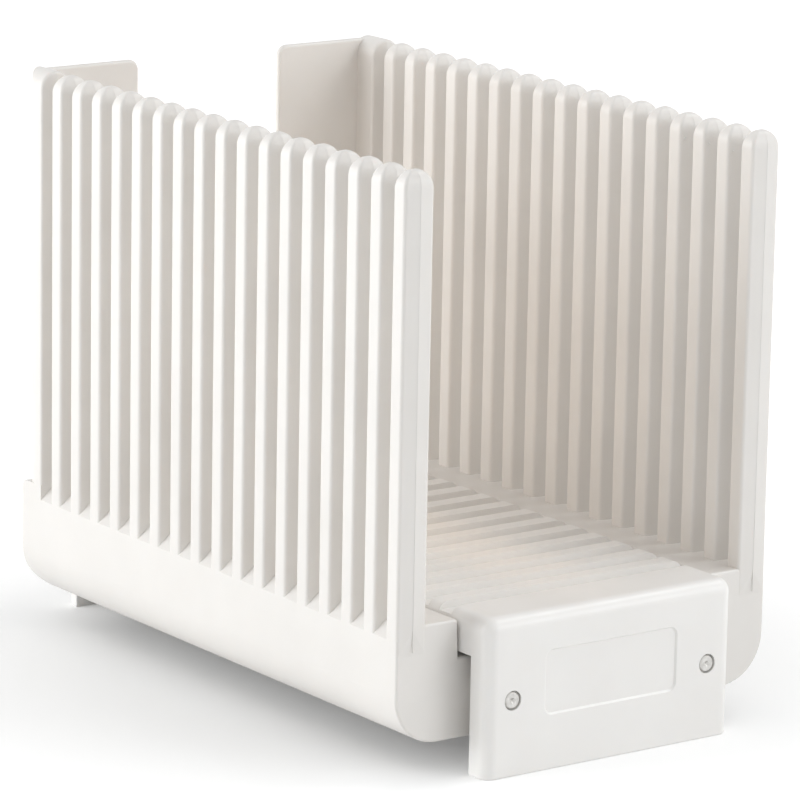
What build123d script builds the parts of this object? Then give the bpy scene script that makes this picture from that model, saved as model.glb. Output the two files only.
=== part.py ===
"""Bread slicing guide: a bench-shaped base and two comb walls that swing on long hinge rods.

A loaf lies on the deck between the two walls. Each wall is a row of upright slats, and a
knife goes down through a pair of facing slots. A back stop turns inward from the last slat
of each wall. Each side moulding hangs clear of the table on a steel rod that runs from the
front panel of the base to its rear panel, and swings outward on it.

Millimetres. +X is to the right seen from the front panel, +Y runs from the front panel to
the rear one, +Z is up. The origin is on the table, below the middle of the object.
"""

from build123d import *
from math import atan2, cos, pi, radians, sin, tan
import os

os.makedirs("parts", exist_ok=True)

# ---------------------------------------------------------------- driving dimensions

# Comb: slats, the knife slots between them and the corner post behind the last slot
slot_pitch = 12.0
slot_count = 17
slat_face_width = 5.8
slat_ridge_height = 0.7
slat_edge_radius = 1.2
corner_post_width = 11.4
post_front_radius = 1.0
post_corner_radius = 8.2
wall_half_width = 72.1
wall_depth = 11.0
wall_top = 189.0
dome_height = 5.8
slat_root_depth = 5.0
ridge_fade_height = 9.0

# Base: front panel, deck and rear panel
front_panel_thickness = 8.5
front_gap = 5.5
rear_gap = 4.3
rear_panel_thickness = 6.2
deck_half_width = 48.0
shoulder_radius = 4.5
panel_face_radius = 4.2
panel_foot_radius = 0.5
groove_floor = 48.4
groove_depth = 2.4
deck_plate = 3.4
deck_skirt = 2.6
deck_skirt_height = 10.5

# Label recess in the front panel, bare
recess_width = 51.6
recess_height = 21.0
recess_centre_z = 28.0
recess_corner_radius = 3.0
recess_depth = 0.6

# Side mouldings
block_bottom = 10.5
block_corner_radius = 16.0
block_end_radius = 12.0
block_face_radius = 0.8
deck_clearance_below = 1.8
channel_foot_clearance = 0.6
channel_mouth_clearance = 1.2
channel_radius = 1.0
slot_sill_drop = 4.0
slot_ramp_run = 4.0
rear_band_rise = 1.0
rear_band_radius = 1.8
skin = 3.0
end_wall = 4.0
rear_end_wall = 12.4
barrel_web = 6.0

# Back stops
stop_thickness = 2.4
stop_reach = 32.8
stop_clearance = 1.9
stop_drop = 0.5
stop_corner_radius = 3.5
stop_lip_radius = 1.0

# Hinges
rod_radius = 2.75
rod_inset = 10.0
rod_z = 24.3
rod_clearance = 0.06
rod_end_inset = 0.15
rod_chamfer = 0.4
rod_dimple_radius = 0.9
rod_dimple_depth = 0.7
ring_radius = 3.15
ring_depth = 1.6
boss_radius = 5.0
boss_clearance = 0.3

# ---------------------------------------------------------------- derived places

# Along Y, from the front panel to the rear panel
side_length = slot_pitch * slot_count + corner_post_width
total_length = front_panel_thickness + front_gap + side_length + rear_gap + rear_panel_thickness
panel_front_y = -total_length / 2
panel_back_y = panel_front_y + front_panel_thickness
side_front_y = panel_back_y + front_gap
side_rear_y = side_front_y + side_length
rear_panel_front_y = side_rear_y + rear_gap
rear_panel_back_y = total_length / 2
slot_width = slot_pitch - slat_face_width
slat_fronts = [side_front_y + slot_pitch * i for i in range(slot_count)]
groove_centres = [y + slat_face_width + slot_width / 2 for y in slat_fronts]
last_slat_front_y = side_front_y + slot_pitch * slot_count

# Heights
ledge_height = groove_floor
deck_top = groove_floor + groove_depth
deck_skirt_bottom = groove_floor - deck_skirt_height
channel_floor = deck_skirt_bottom - deck_clearance_below
slot_sill = ledge_height - slot_sill_drop
slat_root = slot_sill - slat_root_depth
ridge_fade_top = slat_root + ridge_fade_height
rear_band_top = ledge_height + rear_band_rise
stop_bottom = deck_top + stop_clearance
stop_top = wall_top - stop_drop
top_radius = wall_depth / 2
dome_base = wall_top - dome_height
barrel_radius = (channel_floor - block_bottom) / 2
barrel_z = (channel_floor + block_bottom) / 2

# Across X
rod_x = deck_half_width - rod_inset
channel_foot = deck_half_width + channel_foot_clearance
ledge_edge = deck_half_width + channel_mouth_clearance
wall_inner = wall_half_width - wall_depth
wall_middle = wall_half_width - wall_depth / 2
stop_edge = wall_inner - stop_reach
slot_flat_depth = wall_depth - slot_ramp_run


# ---------------------------------------------------------------- base: deck and two panels

with BuildPart() as base:
    # Deck: a plate with two long skirts, open underneath
    with BuildSketch(Plane.XZ.offset(-rear_panel_front_y)) as deck_section:
        with Locations((0, (deck_top + deck_skirt_bottom) / 2)):
            Rectangle(2 * deck_half_width, deck_top - deck_skirt_bottom)
        fillet(deck_section.vertices().group_by(Axis.Y)[-1], shoulder_radius)
        plate_bottom = groove_floor - deck_plate
        with Locations((0, (plate_bottom + deck_skirt_bottom) / 2)):
            Rectangle(
                2 * (deck_half_width - deck_skirt),
                plate_bottom - deck_skirt_bottom,
                mode=Mode.SUBTRACT,
            )
    extrude(amount=rear_panel_front_y - panel_back_y)

    # One shallow groove across the deck for each pair of slots
    with Locations(*[(0, y, groove_floor) for y in groove_centres]):
        Box(
            2 * deck_half_width + 2,
            slot_width,
            deck_top - groove_floor + 1,
            align=(Align.CENTER, Align.CENTER, Align.MIN),
            mode=Mode.SUBTRACT,
        )

    # Front panel, standing on the table, and its rounded front outline
    with BuildSketch(Plane.XZ.offset(-panel_back_y)) as front_outline:
        with Locations((0, deck_top / 2)):
            Rectangle(2 * deck_half_width, deck_top)
        fillet(front_outline.vertices().group_by(Axis.Y)[-1], shoulder_radius)
    extrude(amount=front_panel_thickness)
    front_rim = base.faces().sort_by(Axis.Y)[0].edges().sort_by(Axis.Z)
    fillet(front_rim[1:], panel_face_radius)

    # Rear panel, the other leg of the bench
    with BuildSketch(Plane.XZ.offset(-rear_panel_back_y)) as rear_outline:
        with Locations((0, deck_top / 2)):
            Rectangle(2 * deck_half_width, deck_top)
        fillet(rear_outline.vertices().group_by(Axis.Y)[-1], shoulder_radius)
    extrude(amount=rear_panel_thickness)
    rear_rim = base.faces().sort_by(Axis.Y)[-1].edges().sort_by(Axis.Z)
    fillet(rear_rim[1:], panel_face_radius)

    # A small round where the panels meet the table
    feet = base.faces().group_by(Axis.Z)[0]
    fillet(feet.edges(), panel_foot_radius)

    # Round bosses behind both panels carry the hinge rods and locate the side mouldings
    with BuildSketch(Plane.XZ.offset(-(side_front_y - boss_clearance))):
        with Locations((-rod_x, rod_z), (rod_x, rod_z)):
            Circle(boss_radius)
    extrude(amount=front_gap - boss_clearance)
    with BuildSketch(Plane.XZ.offset(-rear_panel_front_y)):
        with Locations((-rod_x, rod_z), (rod_x, rod_z)):
            Circle(boss_radius)
    extrude(amount=rear_gap - boss_clearance)

    # Rod holes through both panels, opened out to a narrow ring round each rod end
    with BuildSketch(Plane.XZ.offset(-rear_panel_back_y)):
        with Locations((-rod_x, rod_z), (rod_x, rod_z)):
            Circle(rod_radius)
    extrude(amount=total_length, mode=Mode.SUBTRACT)
    with BuildSketch(Plane.XZ.offset(-(panel_front_y + ring_depth))):
        with Locations((-rod_x, rod_z), (rod_x, rod_z)):
            Circle(ring_radius)
    extrude(amount=ring_depth, mode=Mode.SUBTRACT)
    with BuildSketch(Plane.XZ.offset(-rear_panel_back_y)):
        with Locations((-rod_x, rod_z), (rod_x, rod_z)):
            Circle(ring_radius)
    extrude(amount=ring_depth, mode=Mode.SUBTRACT)

    # Label recess, a shallow rounded rectangle whose walls slope at 45 degrees
    with BuildSketch(Plane.XZ.offset(-(panel_front_y + recess_depth))):
        with Locations((0, recess_centre_z)):
            RectangleRounded(
                recess_width - 2 * recess_depth,
                recess_height - 2 * recess_depth,
                recess_corner_radius - recess_depth,
            )
    extrude(amount=recess_depth, taper=-45, mode=Mode.SUBTRACT)

base.part.label = "base"


# ---------------------------------------------------------------- shapes repeated in the comb

# Plan of a slat about its own middle. A ridge runs down the middle of each slot face, so a
# corner is a little more than square, and each round starts this far from its corner.
ridge_lean = atan2(slat_ridge_height, wall_depth / 2)
corner_cut = slat_edge_radius / tan((pi / 2 + ridge_lean) / 2)
round_start_x = wall_depth / 2 - corner_cut * cos(ridge_lean)
round_start_y = slat_face_width / 2 + corner_cut * sin(ridge_lean)
round_end_y = slat_face_width / 2 - corner_cut
ridge_y = slat_face_width / 2 + slat_ridge_height


def slat_plan(share, height):
    """The plan of a slat at a height, drawn in to a share of its full size."""
    half_depth = share * wall_depth / 2
    start_x = share * round_start_x
    start_y = share * round_start_y
    end_y = share * round_end_y
    radius = share * slat_edge_radius
    with BuildSketch(Plane.XY.offset(height)) as plan:
        with BuildLine():
            Polyline((-start_x, -start_y), (0, -share * ridge_y), (start_x, -start_y))
            RadiusArc((start_x, -start_y), (half_depth, -end_y), -radius)
            Line((half_depth, -end_y), (half_depth, end_y))
            RadiusArc((half_depth, end_y), (start_x, start_y), -radius)
            Polyline((start_x, start_y), (0, share * ridge_y), (-start_x, start_y))
            RadiusArc((-start_x, start_y), (-half_depth, end_y), -radius)
            Line((-half_depth, end_y), (-half_depth, -end_y))
            RadiusArc((-half_depth, -end_y), (-start_x, -start_y), -radius)
        make_face()
    return plan.sketch


# One slat about its own middle: a straight stem, and a dome whose plan draws in as a quarter
# of an ellipse up to the small flat on top
dome_angles = range(0, 86, 17)
dome_end = sin(radians(dome_angles[-1]))
with BuildPart() as slat:
    extrude(slat_plan(1, slat_root), amount=dome_base - slat_root)
    loft(
        [
            slat_plan(cos(radians(a)), dome_base + dome_height * sin(radians(a)) / dome_end)
            for a in dome_angles
        ]
    )

# Upright outline of the corner post seen from the front: straight sides and a full-round top
with BuildSketch(Plane.XZ) as wall_outline:
    with BuildLine():
        Polyline(
            (-wall_half_width, wall_top - top_radius),
            (-wall_half_width, slat_root),
            (-wall_inner, slat_root),
            (-wall_inner, wall_top - top_radius),
        )
        ThreePointArc(
            (-wall_inner, wall_top - top_radius),
            (-wall_middle, wall_top),
            (-wall_half_width, wall_top - top_radius),
        )
    make_face()

# Corner post: the last slat, wider, with a large round on its outer rear corner
with BuildPart() as corner_post:
    with BuildSketch(Plane.XY.offset(slat_root)) as post_plan:
        with BuildLine():
            Polyline(
                (-wall_half_width, 0),
                (-wall_middle, -slat_ridge_height),
                (-wall_inner, 0),
                (-wall_inner, corner_post_width),
                (-wall_half_width, corner_post_width),
                close=True,
            )
        make_face()
        outer_rear = post_plan.vertices().group_by(Axis.Y)[-1].sort_by(Axis.X)[0]
        fillet(outer_rear, post_corner_radius)
    extrude(amount=wall_top - slat_root)
    extrude(wall_outline.sketch, amount=2 * slot_pitch, both=True, mode=Mode.INTERSECT)
    front_edges = corner_post.edges().filter_by(lambda e: e.center().Y < 0.5)
    top_edges = front_edges.filter_by(lambda e: e.center().Z > wall_top - top_radius + 1)
    upright_edges = front_edges.filter_by(Axis.Z)
    corner_edges = upright_edges.filter_by(lambda e: abs(e.center().X + wall_middle) > 1)
    fillet(top_edges + corner_edges, post_front_radius)

# Back stop: a thin plate with rounded edges, turned inward above the deck
with BuildPart() as back_stop:
    with BuildSketch(Plane.XZ.offset(-side_rear_y)) as stop_outline:
        with Locations((-wall_middle, stop_bottom)):
            Rectangle(
                wall_middle - stop_edge,
                stop_top - stop_bottom,
                align=(Align.MIN, Align.MIN),
            )
        stop_corner = stop_outline.vertices().group_by(Axis.Y)[-1].sort_by(Axis.X)[-1]
        fillet(stop_corner, stop_corner_radius)
    extrude(amount=stop_thickness)
    rims = back_stop.faces().filter_by(Axis.Y).edges()
    free_rims = rims.filter_by(lambda e: e.center().X > -wall_middle + 1)
    fillet(free_rims, stop_lip_radius)


# ---------------------------------------------------------------- left side moulding

with BuildPart() as left_side:
    # Block under the comb: ledge, channel beside the deck, and the hinge barrel
    with BuildSketch(Plane.XZ.offset(-side_rear_y)) as block_section:
        with BuildLine():
            Polyline(
                (-rod_x, channel_floor),
                (-channel_foot, channel_floor),
                (-ledge_edge, ledge_height),
                (-(wall_inner + slot_flat_depth), ledge_height),
                (-wall_half_width, slot_sill),
                (-wall_half_width, block_bottom),
                (-rod_x, block_bottom),
            )
            ThreePointArc(
                (-rod_x, block_bottom),
                (-rod_x + barrel_radius, barrel_z),
                (-rod_x, channel_floor),
            )
        make_face()
        outer_low = block_section.vertices().group_by(Axis.Y)[0].sort_by(Axis.X)[0]
        fillet(outer_low, block_corner_radius)
        ledge_corner = block_section.vertices().group_by(Axis.Y)[-1].sort_by(Axis.X)[-1]
        fillet(ledge_corner, channel_radius)
    extrude(amount=side_length)

    # Low band under the rear corner post
    with BuildSketch(Plane.XZ.offset(-side_rear_y)):
        with Locations((-wall_half_width, slot_sill - 1)):
            Rectangle(wall_depth, rear_band_top - slot_sill + 1, align=(Align.MIN, Align.MIN))
    extrude(amount=corner_post_width)

    # The block's two rear corners are rounded in side view
    with BuildSketch(Plane.YZ.offset(-wall_half_width - 1)) as side_outline:
        with Locations((side_front_y, block_bottom)):
            Rectangle(side_length, rear_band_top - block_bottom, align=(Align.MIN, Align.MIN))
        low_rear = side_outline.vertices().group_by(Axis.Y)[0].sort_by(Axis.X)[-1]
        fillet(low_rear, block_end_radius)
        high_rear = side_outline.vertices().group_by(Axis.Y)[-1].sort_by(Axis.X)[-1]
        fillet(high_rear, rear_band_radius)
    extrude(amount=wall_half_width, mode=Mode.INTERSECT)
    fillet(left_side.faces().sort_by(Axis.Y)[0].edges(), block_face_radius)

    # Hollow underside between the outer skin and the hinge barrel
    pocket_front_y = side_front_y + end_wall
    pocket_rear_y = side_rear_y - rear_end_wall
    pocket_corner = block_corner_radius - skin
    with BuildSketch(Plane.XZ.offset(-pocket_rear_y)):
        with BuildLine():
            Polyline(
                (-(rod_x + barrel_web), block_bottom - 1),
                (-(rod_x + barrel_web), channel_floor - skin),
                (-(channel_foot + skin), channel_floor - skin),
                (-(ledge_edge + skin), ledge_height - skin),
                (-(wall_inner + slot_flat_depth - skin / 2), ledge_height - skin),
                (-(wall_half_width - skin), slot_sill - skin),
                (-(wall_half_width - skin), block_bottom + block_corner_radius),
            )
            CenterArc(
                (-(wall_half_width - block_corner_radius), block_bottom + block_corner_radius),
                pocket_corner,
                180,
                90,
            )
            Polyline(
                (-(wall_half_width - block_corner_radius), block_bottom + skin),
                (-(wall_half_width - block_corner_radius), block_bottom - 1),
                (-(rod_x + barrel_web), block_bottom - 1),
            )
        make_face()
    extrude(amount=pocket_rear_y - pocket_front_y, mode=Mode.SUBTRACT)

    # Comb: one slat beside each knife slot, and the corner post at the rear
    with Locations(*[(-wall_middle, y + slat_face_width / 2, 0) for y in slat_fronts]):
        add(slat.part)
    with Locations((0, last_slat_front_y, 0)):
        add(corner_post.part)

    # The front ridge fades into the block's front face
    with BuildSketch(Plane.YZ.offset(-wall_half_width - 1)):
        with BuildLine():
            Polyline(
                (side_front_y, slat_root - 1),
                (side_front_y, slat_root),
                (side_front_y - slat_ridge_height - 0.1, ridge_fade_top),
                (side_front_y - 3, ridge_fade_top),
                (side_front_y - 3, slat_root - 1),
                close=True,
            )
        make_face()
    extrude(amount=wall_depth + 2, mode=Mode.SUBTRACT)

    # Back stop, turned inward from the corner post above the deck
    add(back_stop.part)

    # Bore for the hinge rod, right through the barrel
    with BuildSketch(Plane.XZ.offset(-side_rear_y - 1)):
        with Locations((-rod_x, rod_z)):
            Circle(rod_radius + rod_clearance)
    extrude(amount=side_length + 2, mode=Mode.SUBTRACT)

left_side.part.label = "left_side"


# ---------------------------------------------------------------- right side moulding

with BuildPart() as right_side:
    add(left_side.part)
    mirror(about=Plane.YZ, mode=Mode.REPLACE)

right_side.part.label = "right_side"


# ---------------------------------------------------------------- hinge rods

with BuildPart() as left_hinge_rod:
    with BuildSketch(Plane.XZ.offset(-(rear_panel_back_y - rod_end_inset))):
        with Locations((-rod_x, rod_z)):
            Circle(rod_radius)
    extrude(amount=total_length - 2 * rod_end_inset)
    rod_ends = left_hinge_rod.faces().filter_by(Axis.Y)
    chamfer(rod_ends.edges(), rod_chamfer)

    # Centre-drilled ends
    with Locations(Plane.XZ.offset(-(panel_front_y + rod_end_inset))):
        with Locations((-rod_x, rod_z)):
            Cone(
                rod_dimple_radius,
                0.1,
                rod_dimple_depth,
                rotation=(180, 0, 0),
                align=(Align.CENTER, Align.CENTER, Align.MIN),
                mode=Mode.SUBTRACT,
            )

left_hinge_rod.part.label = "left_hinge_rod"

with BuildPart() as right_hinge_rod:
    add(left_hinge_rod.part)
    mirror(about=Plane.YZ, mode=Mode.REPLACE)

right_hinge_rod.part.label = "right_hinge_rod"


# ---------------------------------------------------------------- write each piece

for piece in (base, left_side, right_side, left_hinge_rod, right_hinge_rod):
    export_step(piece.part, f"parts/{piece.part.label}.step")
    size = piece.part.bounding_box().size
    print(piece.part.label, round(size.X, 2), round(size.Y, 2), round(size.Z, 2))
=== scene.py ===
# %% [markdown]
# A bread slicing guide in white moulded plastic: a bench-shaped base with a ribbed deck, and
# two tall comb walls that hang beside it on long steel hinge rods. The solids come from the
# CAD frame, so this lesson is about everything a mould and a studio add to them: the finish
# of the plastic and the steel, the fine marks of moulding, the light and the camera.

# %% Load the frame
import math

import bmesh
import bpy
from mathutils import Matrix, Vector


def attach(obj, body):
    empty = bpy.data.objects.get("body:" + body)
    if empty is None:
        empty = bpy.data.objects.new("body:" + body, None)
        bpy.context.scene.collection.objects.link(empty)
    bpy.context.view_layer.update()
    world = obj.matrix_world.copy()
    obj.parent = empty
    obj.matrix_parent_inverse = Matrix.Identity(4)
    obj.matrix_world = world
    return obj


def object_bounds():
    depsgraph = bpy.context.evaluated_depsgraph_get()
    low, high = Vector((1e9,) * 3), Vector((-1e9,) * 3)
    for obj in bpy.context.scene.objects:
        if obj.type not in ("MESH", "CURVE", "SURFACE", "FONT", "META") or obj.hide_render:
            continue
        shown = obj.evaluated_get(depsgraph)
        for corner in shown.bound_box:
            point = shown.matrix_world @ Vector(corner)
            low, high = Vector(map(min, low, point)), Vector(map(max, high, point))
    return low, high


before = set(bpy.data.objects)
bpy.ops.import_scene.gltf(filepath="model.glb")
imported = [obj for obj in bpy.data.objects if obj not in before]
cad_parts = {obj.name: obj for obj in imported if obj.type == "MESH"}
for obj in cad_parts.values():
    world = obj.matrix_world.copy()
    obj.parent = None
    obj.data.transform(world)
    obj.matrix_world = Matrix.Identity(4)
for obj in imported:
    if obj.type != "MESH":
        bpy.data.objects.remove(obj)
cad_low, cad_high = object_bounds()
MM = 0.001
print("CAD box, mm:", [round(v / MM, 1) for v in (*cad_low, *cad_high)])

# %% [markdown]
# The lesson needs a few real sizes again, in millimetres. They are the ones the solids were
# drawn with: the pitch of the knife slots, the width of a slat, where the walls stand.

# %% Sizes of the real object
SLOT_PITCH = 12.0
SLOT_COUNT = 17
SLAT_WIDTH = 5.8
RIDGE_HEIGHT = 0.7
WALL_OUTER = 72.1
WALL_INNER = 61.1
WALL_MIDDLE = (WALL_OUTER + WALL_INNER) / 2
WALL_TOP = 189.0
DOME_HEIGHT = 5.8
DOME_END = math.radians(85)
SIDE_FRONT = cad_low.y / MM + 14.0
LEDGE = 48.4
ROD_X = 38.0
ROD_Z = 24.3
print("first slat starts at y =", round(SIDE_FRONT, 2), "mm")

# %% [markdown]
# Moulded plastic is never one flat colour. The pigment is a little uneven, the mould leaves a
# fine grain that breaks up the highlight, and long faces sink by a few hundredths of a
# millimetre between ribs, which bends a reflection. One helper builds all three layers into a
# node tree, so that the base and the sides differ only in a few numbers.

# %% A helper for moulded plastic
NOISE_MIDDLE = (0.3, 0.7)
PLASTIC_IOR = 1.49


def wire(tree, kind, **inputs):
    """Adds a node and fills its inputs: a value is set on the socket, a socket is linked."""
    node = tree.nodes.new(kind)
    for name, value in inputs.items():
        socket = node.inputs[name.replace("_", " ")]
        if isinstance(value, bpy.types.NodeSocket):
            tree.links.new(value, socket)
        else:
            socket.default_value = value
    return node


def colour_ramp(tree, factor, dark, light):
    """A ramp over the middle of a noise, from a dark tone to a light one."""
    ramp = tree.nodes.new("ShaderNodeValToRGB")
    tree.links.new(factor, ramp.inputs["Fac"])
    ends = zip(ramp.color_ramp.elements, NOISE_MIDDLE, (dark, light))
    for stop, position, colour in ends:
        stop.position = position
        stop.color = (*colour, 1)
    return ramp.outputs["Color"]


def value_range(tree, value, before, after):
    """Maps one range of a value onto another, and returns the mapped value."""
    mapped = tree.nodes.new("ShaderNodeMapRange")
    tree.links.new(value, mapped.inputs["Value"])
    mapped.inputs["From Min"].default_value, mapped.inputs["From Max"].default_value = before
    mapped.inputs["To Min"].default_value, mapped.inputs["To Max"].default_value = after
    return mapped.outputs["Result"]


def calculate(tree, kind, operation, first, second=None):
    """One maths node: the first input is linked, the second is linked or set."""
    node = tree.nodes.new(kind)
    node.operation = operation
    tree.links.new(first, node.inputs[0])
    if isinstance(second, bpy.types.NodeSocket):
        tree.links.new(second, node.inputs[1])
    elif second is not None:
        node.inputs[1].default_value = second
    return node


def moulded_plastic(name, dark, light, gloss, grain):
    """White moulded plastic: uneven pigment, satin gloss, mould grain and slow sink waves."""
    material = bpy.data.materials.new(name)
    material.use_nodes = True
    tree = material.node_tree
    shader = tree.nodes["Principled BSDF"]
    place = tree.nodes.new("ShaderNodeTexCoord").outputs["Object"]

    cloud = wire(tree, "ShaderNodeTexNoise", Vector=place, Scale=34.0, Detail=4.0)
    pigment = colour_ramp(tree, cloud.outputs["Fac"], dark, light)
    tree.links.new(pigment, shader.inputs["Base Color"])

    smear = wire(tree, "ShaderNodeTexNoise", Vector=place, Scale=90.0, Detail=6.0)
    spread = (gloss - 0.05, gloss + 0.06)
    rough = value_range(tree, smear.outputs["Fac"], NOISE_MIDDLE, spread)
    tree.links.new(rough, shader.inputs["Roughness"])

    sink = wire(tree, "ShaderNodeTexNoise", Vector=place, Scale=16.0, Detail=1.0)
    sink_bump = wire(
        tree,
        "ShaderNodeBump",
        Height=sink.outputs["Fac"],
        Strength=0.18,
        Distance=0.0012,
    )
    spark = wire(tree, "ShaderNodeTexNoise", Vector=place, Scale=2600.0, Detail=2.0)
    spark_bump = wire(
        tree,
        "ShaderNodeBump",
        Height=spark.outputs["Fac"],
        Normal=sink_bump.outputs["Normal"],
        Strength=grain,
        Distance=0.00008,
    )
    tree.links.new(spark_bump.outputs["Normal"], shader.inputs["Normal"])

    shader.inputs["IOR"].default_value = PLASTIC_IOR
    shader.inputs["Subsurface Weight"].default_value = 0.12
    shader.inputs["Subsurface Radius"].default_value = (0.004, 0.0035, 0.003)
    shader.inputs["Subsurface Scale"].default_value = 0.6
    print("material", name)
    return material


def dress(node, material):
    """Gives a CAD node its material, in every slot it has."""
    piece = bpy.data.objects[node]
    if not piece.material_slots:
        piece.data.materials.append(material)
    for held in piece.material_slots:
        held.material = material
    print(node, "is now", material.name)


# %% [markdown]
# The base and the two sides are mouldings of the same white plastic. The sides get a darker,
# slightly warmer copy of its colour: that step is painted shade, for the walls and their
# slots being less lit than the base. In the hand the base is a touch glossier on its front
# panel.

# %% White plastic for the base and the sides
base_plastic = moulded_plastic(
    "white base plastic", (0.87, 0.852, 0.825), (0.90, 0.885, 0.86), 0.34, 0.25
)
# the sides' colour is set darker and warmer than the base's: painted shade, not a different
# plastic
side_plastic_painted_darker = moulded_plastic(
    "white side plastic, painted darker", (0.785, 0.76, 0.727), (0.815, 0.79, 0.757), 0.38, 0.35
)
dress("base", base_plastic)
dress("left_side", side_plastic_painted_darker)
dress("right_side", side_plastic_painted_darker)

# %% [markdown]
# The rods are plain steel bar, cut and faced in a lathe. The end shows rings from the facing
# cut, so the finish is built round the rod's own axis: distance from that axis drives fine
# waves in the bump. Object coordinates start at the row's origin, so a mapping
# node first moves them onto the rod.

# %% Faced steel for the hinge rods
CUT_PITCH = 0.28


def faced_steel(name, centre_x):
    material = bpy.data.materials.new(name)
    material.use_nodes = True
    tree = material.node_tree
    shader = tree.nodes["Principled BSDF"]
    place = tree.nodes.new("ShaderNodeTexCoord").outputs["Object"]
    vectors, scalars = "ShaderNodeVectorMath", "ShaderNodeMath"
    axis_point = (centre_x * MM, 0, ROD_Z * MM)
    onto_rod = calculate(tree, vectors, "SUBTRACT", place, axis_point)
    flat = calculate(tree, vectors, "MULTIPLY", onto_rod.outputs["Vector"], (1, 0, 1))
    distance = calculate(tree, vectors, "LENGTH", flat.outputs["Vector"])
    turns = 2 * math.pi / (CUT_PITCH * MM)
    rings = calculate(tree, scalars, "MULTIPLY", distance.outputs["Value"], turns)
    wave = calculate(tree, scalars, "SINE", rings.outputs["Value"])

    scratch = wire(tree, "ShaderNodeTexNoise", Vector=place, Scale=900.0, Detail=5.0)
    tone = colour_ramp(tree, scratch.outputs["Fac"], (0.50, 0.49, 0.47), (0.66, 0.65, 0.63))
    tree.links.new(tone, shader.inputs["Base Color"])
    rough = value_range(tree, scratch.outputs["Fac"], (0, 1), (0.28, 0.46))
    tree.links.new(rough, shader.inputs["Roughness"])
    bump = wire(
        tree,
        "ShaderNodeBump",
        Height=wave.outputs["Value"],
        Strength=0.35,
        Distance=0.00002,
    )
    tree.links.new(bump.outputs["Normal"], shader.inputs["Normal"])
    shader.inputs["Metallic"].default_value = 1.0
    print("material", name)
    return material


dress("left_hinge_rod", faced_steel("faced steel, left rod", -ROD_X))
dress("right_hinge_rod", faced_steel("faced steel, right rod", ROD_X))

# %% [markdown]
# Each side is moulded in a tool that closes along the middle of the wall, so every slat has a
# hair-thin line of flash on its ridge, over its top and down the other ridge. It is a real
# raised edge that catches the light, so it is made as geometry: one slim bead of six sides,
# swept along the slat's outline and copied from slat to slat. The beads of a wall are one
# piece, which rides on that wall.

# %% Flash lines on the slat ridges
BEAD_RADIUS = 0.16
BEAD_SINK = 0.09
BEAD_SIDES = 6
BEAD_SQUASH = 0.6
DOME_STEPS = 10
FRONT_RIDGE_FOOT = 40.5


def bead_path(start):
    """Points up the front ridge of one slat, over its dome and down its back ridge."""
    middle = start + SLAT_WIDTH / 2
    reach = SLAT_WIDTH / 2 + RIDGE_HEIGHT - BEAD_SINK
    dome_base = WALL_TOP - DOME_HEIGHT
    low_front = FRONT_RIDGE_FOOT if start == SIDE_FRONT else LEDGE
    climb = []
    for i in range(DOME_STEPS + 1):
        a = DOME_END * i / DOME_STEPS
        height = (DOME_HEIGHT - BEAD_RADIUS) * math.sin(a) / math.sin(DOME_END)
        climb.append((reach * math.cos(a), dome_base + height))
    points = [Vector((0, middle - reach, low_front))]
    points += [Vector((0, middle - out, z)) for out, z in climb]
    points += [Vector((0, middle + out, z)) for out, z in reversed(climb)]
    points.append(Vector((0, middle + reach, LEDGE)))
    return points


def sweep_bead(mesh, points, x):
    """Sweeps a six-sided bead along points that lie in one plane across the wall."""
    rings = []
    for i, point in enumerate(points):
        before = points[max(i - 1, 0)]
        after = points[min(i + 1, len(points) - 1)]
        along = (after - before).normalized()
        side = Vector((1, 0, 0))
        up = along.cross(side)
        ring = []
        for k in range(BEAD_SIDES):
            a = 2 * math.pi * k / BEAD_SIDES
            offset = BEAD_RADIUS * (side * math.cos(a) * BEAD_SQUASH + up * math.sin(a))
            spot = point + offset + Vector((x, 0, 0))
            ring.append(mesh.verts.new(spot * MM))
        rings.append(ring)
    for low, high in zip(rings, rings[1:]):
        for k in range(BEAD_SIDES):
            n = (k + 1) % BEAD_SIDES
            mesh.faces.new((low[k], low[n], high[n], high[k]))
    mesh.faces.new(list(reversed(rings[0])))
    mesh.faces.new(rings[-1])


def finish_piece(mesh, name, body, material):
    """Turns a bmesh into a smooth-shaded object that rides on a body."""
    bmesh.ops.recalc_face_normals(mesh, faces=mesh.faces)
    data = bpy.data.meshes.new(name)
    mesh.to_mesh(data)
    mesh.free()
    for face in data.polygons:
        face.use_smooth = True
    piece = bpy.data.objects.new(name, data)
    bpy.context.scene.collection.objects.link(piece)
    data.materials.append(material)
    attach(piece, body)
    print(name, len(data.polygons), "faces")


for side, sign in (("left_side", -1), ("right_side", 1)):
    beads = bmesh.new()
    for i in range(SLOT_COUNT):
        sweep_bead(beads, bead_path(SIDE_FRONT + SLOT_PITCH * i), sign * WALL_MIDDLE)
    finish_piece(beads, side + "_flash_lines", side, side_plastic_painted_darker)

# %% [markdown]
# Near the top of three slats of the right wall there is a small witness of the mould: a low
# round pip on the slot face, close to its inner edge. Each is a flattened dome.

# %% Mould pips near the slat tops
PIP_RADIUS = 0.5
PIP_HEIGHT = 0.3
PIP_INSET = 2.0
PIP_DROPS = (8.0, 7.4, 7.8)
face_lean = math.atan2(RIDGE_HEIGHT, (WALL_OUTER - WALL_INNER) / 2)
turned = Matrix.Rotation(-face_lean, 4, "Z")
pips = bmesh.new()
for i, drop in enumerate(PIP_DROPS, start=1):
    face_y = SIDE_FRONT + SLOT_PITCH * i - PIP_INSET * math.tan(face_lean)
    centre = Vector((WALL_INNER + PIP_INSET, face_y, WALL_TOP - drop))
    squash = Matrix.Diagonal((PIP_RADIUS, PIP_HEIGHT, PIP_RADIUS, 1))
    place = Matrix.Scale(MM, 4) @ Matrix.Translation(centre) @ turned @ squash
    bmesh.ops.create_icosphere(pips, subdivisions=2, radius=1.0, matrix=place)
finish_piece(pips, "right_side_mould_pips", "right_side", side_plastic_painted_darker)

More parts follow.
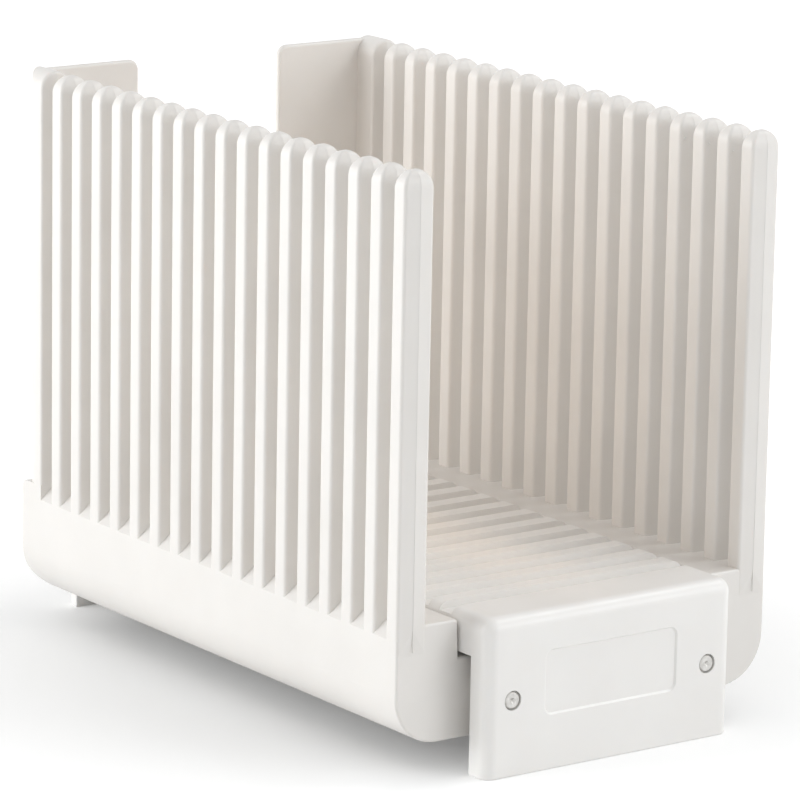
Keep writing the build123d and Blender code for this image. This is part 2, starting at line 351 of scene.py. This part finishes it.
# %% [markdown]
# A plain pale floor carries the shadow. It is diffuse, so it shades like paper, and a camera
# ray also sees some glow from it. Near the object the glow is weak, so the contact shadow
# stays grey; it grows with the distance, and the floor runs out to clean white. The world is
# soft and even for the object, and white where the camera sees it.

# %% Floor
FLOOR_REACH = 6.0
GLOW_DISTANCE = (0.09, 0.31)
GLOW = (0.10, 0.55)

floor_mesh = bmesh.new()
bmesh.ops.create_grid(floor_mesh, x_segments=8, y_segments=8, size=FLOOR_REACH)
floor_data = bpy.data.meshes.new("floor")
floor_mesh.to_mesh(floor_data)
floor_mesh.free()
floor = bpy.data.objects.new("floor", floor_data)
bpy.context.scene.collection.objects.link(floor)

paper = bpy.data.materials.new("white paper floor")
paper.use_nodes = True
tree = paper.node_tree
tree.nodes.remove(tree.nodes["Principled BSDF"])
matte = wire(tree, "ShaderNodeBsdfDiffuse", Color=(0.90, 0.90, 0.895, 1))
rays = tree.nodes.new("ShaderNodeLightPath")
camera_ray, glossy_ray = rays.outputs["Is Camera Ray"], rays.outputs["Is Glossy Ray"]
seen = calculate(tree, "ShaderNodeMath", "MAXIMUM", camera_ray, glossy_ray)
spot = tree.nodes.new("ShaderNodeTexCoord").outputs["Object"]
reach = calculate(tree, "ShaderNodeVectorMath", "LENGTH", spot)
fade = value_range(tree, reach.outputs["Value"], GLOW_DISTANCE, GLOW)
amount = calculate(tree, "ShaderNodeMath", "MULTIPLY", seen.outputs["Value"], fade)
glow = wire(tree, "ShaderNodeEmission", Color=(1, 1, 1, 1), Strength=amount.outputs["Value"])
both = tree.nodes.new("ShaderNodeAddShader")
tree.links.new(matte.outputs["BSDF"], both.inputs[0])
tree.links.new(glow.outputs["Emission"], both.inputs[1])
tree.links.new(both.outputs["Shader"], tree.nodes["Material Output"].inputs["Surface"])
floor_data.materials.append(paper)
print("floor ready")

# %% World: soft for the object, white for the camera
world = bpy.data.worlds.new("studio")
bpy.context.scene.world = world
world.use_nodes = True
tree = world.node_tree
sky = tree.nodes["Background"]
sky.inputs["Color"].default_value = (0.985, 0.99, 1.0, 1)
sky.inputs["Strength"].default_value = 0.56
white = wire(tree, "ShaderNodeBackground", Color=(1, 1, 1, 1), Strength=1.0)
rays = tree.nodes.new("ShaderNodeLightPath")
camera_ray, glossy_ray = rays.outputs["Is Camera Ray"], rays.outputs["Is Glossy Ray"]
through_ray = rays.outputs["Is Transmission Ray"]
seen = calculate(tree, "ShaderNodeMath", "MAXIMUM", camera_ray, through_ray)
seen = calculate(tree, "ShaderNodeMath", "MAXIMUM", seen.outputs["Value"], glossy_ray)
mix = tree.nodes.new("ShaderNodeMixShader")
tree.links.new(seen.outputs["Value"], mix.inputs["Fac"])
tree.links.new(sky.outputs["Background"], mix.inputs[1])
tree.links.new(white.outputs["Background"], mix.inputs[2])
tree.links.new(mix.outputs["Shader"], tree.nodes["World Output"].inputs["Surface"])
print("world ready")

# %% [markdown]
# Three soft boxes. A tall one stands on the left and well behind, so the left wall's outside
# is the brightest face. One in front and to the right lights the panel and the slat
# fronts. A small one high on the right draws the highlight along the panel's top edge. No
# lamp stands near the camera, so whatever faces it squarely is a step darker than its
# neighbours, and the insides of the walls are a step darker again. Two very weak warm panels
# stand in the bay, hidden from the camera, each shining past the other at its own wall. They
# warm the insides of the walls and the slots, as light does that has bounced about there.

# %% Lights
COOL = (0.975, 0.99, 1.0)
WARM = (1.0, 0.62, 0.30)


def soft_box(name, place, aim, size, power, colour=(1, 1, 1)):
    lamp = bpy.data.lights.new(name, "AREA")
    lamp.shape = "RECTANGLE"
    lamp.size, lamp.size_y = size
    lamp.energy = power
    lamp.color = colour
    holder = bpy.data.objects.new(name, lamp)
    bpy.context.scene.collection.objects.link(holder)
    holder.location = place
    direction = Vector(aim) - Vector(place)
    holder.rotation_mode = "QUATERNION"
    holder.rotation_quaternion = direction.to_track_quat("-Z", "Y")
    print("lamp", name, power, "W")
    return holder


soft_box("soft box left", (-1.35, 0.75, 0.4), (0, 0, 0.09), (1.2, 1.0), 17.8, COOL)
soft_box("soft box front", (0.9, -1.4, 0.7), (0, 0, 0.05), (0.9, 0.9), 7.9, COOL)
soft_box("soft box top", (1.0, -0.42, 1.4), (0, 0, 0.05), (0.6, 0.6), 6.0, COOL)
for name, out in (("warm panel, left", -1), ("warm panel, right", 1)):
    panel = soft_box(name, (-0.02 * out, 0, 0.12), (out, 0, 0.12), (0.19, 0.12), 0.014, WARM)
    panel.visible_camera = False
    panel.visible_glossy = False

# %% [markdown]
# The camera stands where the photographer stood: left of the front panel, a little above the
# object, far off with a long lens, and leaning by one degree. Its three axes come from that
# bearing, so they are built as a matrix: right, up, and away from the subject.

# %% Camera
BEARING = math.radians(-35.9172)
RAISED = math.radians(13.1932)
LEAN = math.radians(1.0578)
DISTANCE = 1638.24
FOCUS_PIXELS = 5039.18
FRAME_PIXELS = 800
SENSOR = 36.0

away = Vector(
    (
        math.sin(BEARING) * math.cos(RAISED),
        -math.cos(BEARING) * math.cos(RAISED),
        math.sin(RAISED),
    )
)
subject = Vector((3.583, 105.0 + SIDE_FRONT, 89.444))
ahead = -away
level_right = ahead.cross(Vector((0, 0, 1))).normalized()
level_up = level_right.cross(ahead)
right = level_right * math.cos(LEAN) + level_up * math.sin(LEAN)
up = level_up * math.cos(LEAN) - level_right * math.sin(LEAN)

lens = bpy.data.cameras.new("camera")
lens.sensor_width = SENSOR
lens.lens = FOCUS_PIXELS / FRAME_PIXELS * SENSOR
lens.clip_end = 50
camera = bpy.data.objects.new("camera", lens)
bpy.context.scene.collection.objects.link(camera)
axes = Matrix((right, up, away)).transposed().to_4x4()
axes.translation = (subject + away * DISTANCE) * MM
camera.matrix_world = axes
bpy.context.scene.camera = camera
bpy.context.scene.view_settings.view_transform = "Standard"
print("lens", round(lens.lens, 1), "mm at", round(DISTANCE), "mm")
